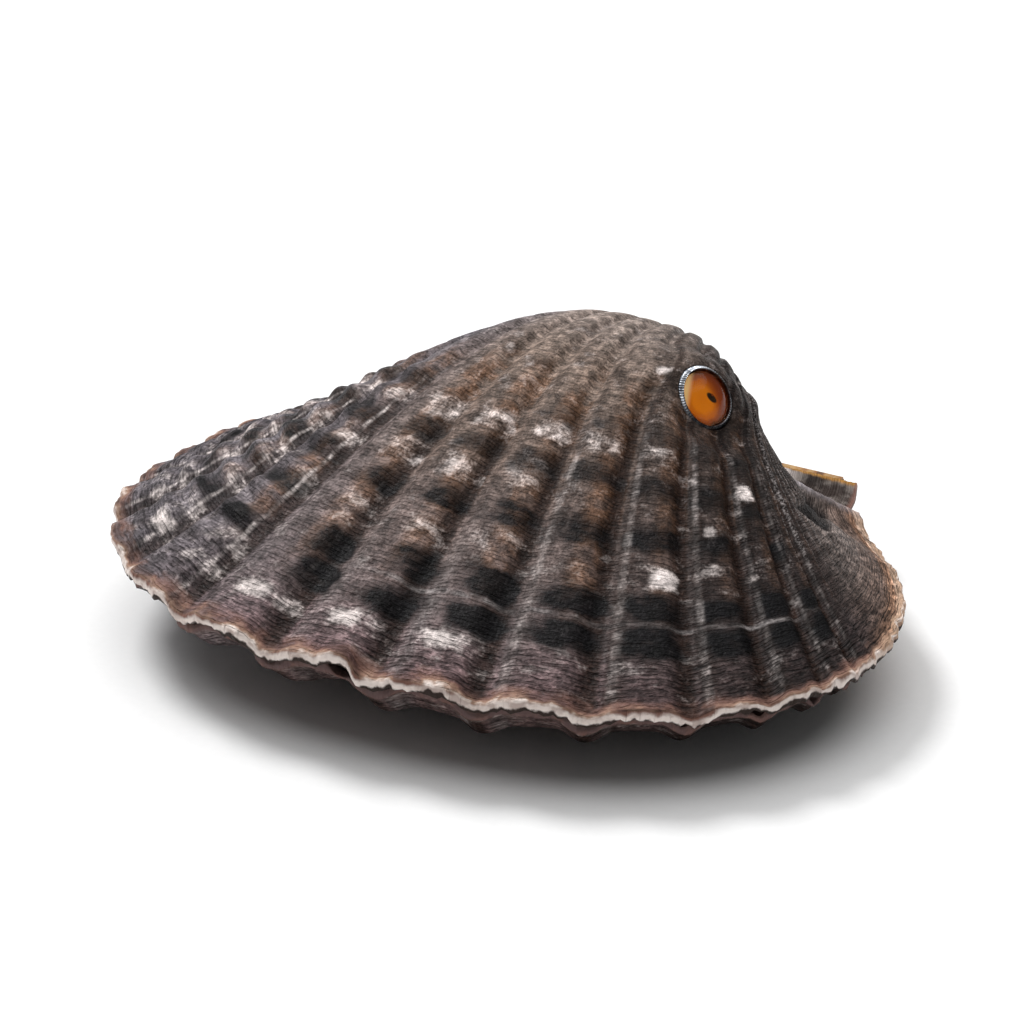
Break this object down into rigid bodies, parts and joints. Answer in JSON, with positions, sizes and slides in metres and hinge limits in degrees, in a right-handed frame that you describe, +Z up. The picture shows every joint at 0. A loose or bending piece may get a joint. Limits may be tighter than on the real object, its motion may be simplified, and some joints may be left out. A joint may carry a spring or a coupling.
{
  "type": "bay scallop shell",
  "caption": "Closed ribbed bay scallop shell resting on its lower valve, with a small amber glass eye set into the upper valve near the beak.",
  "frame": {"origin": "middle of the shell's bounding box, on the surface that it lies on", "axes": "+X along the hinge to the right, -Y to the front margin, +Z up"},
  "size_m": [0.0722, 0.062, 0.0238],
  "materials": {
    "upper_valve": "satin natural shell, grey-brown with charcoal and pinkish-white blotches",
    "lower_valve": "satin natural shell, dark grey-brown",
    "hinge_ligament": "dry amber horn",
    "eye_bezel": "crimped silver metal",
    "eye_iris": "orange paint with a black slit pupil",
    "eye_lens": "polished clear amber glass"
  },
  "bodies": {
    "root": {"upper_valve": "upper_valve", "lower_valve": "lower_valve", "hinge_ligament": "hinge_ligament", "eye_bezel": "eye_bezel", "eye_iris": "eye_iris", "eye_lens": "eye_lens"}
  },
  "joints": []
}
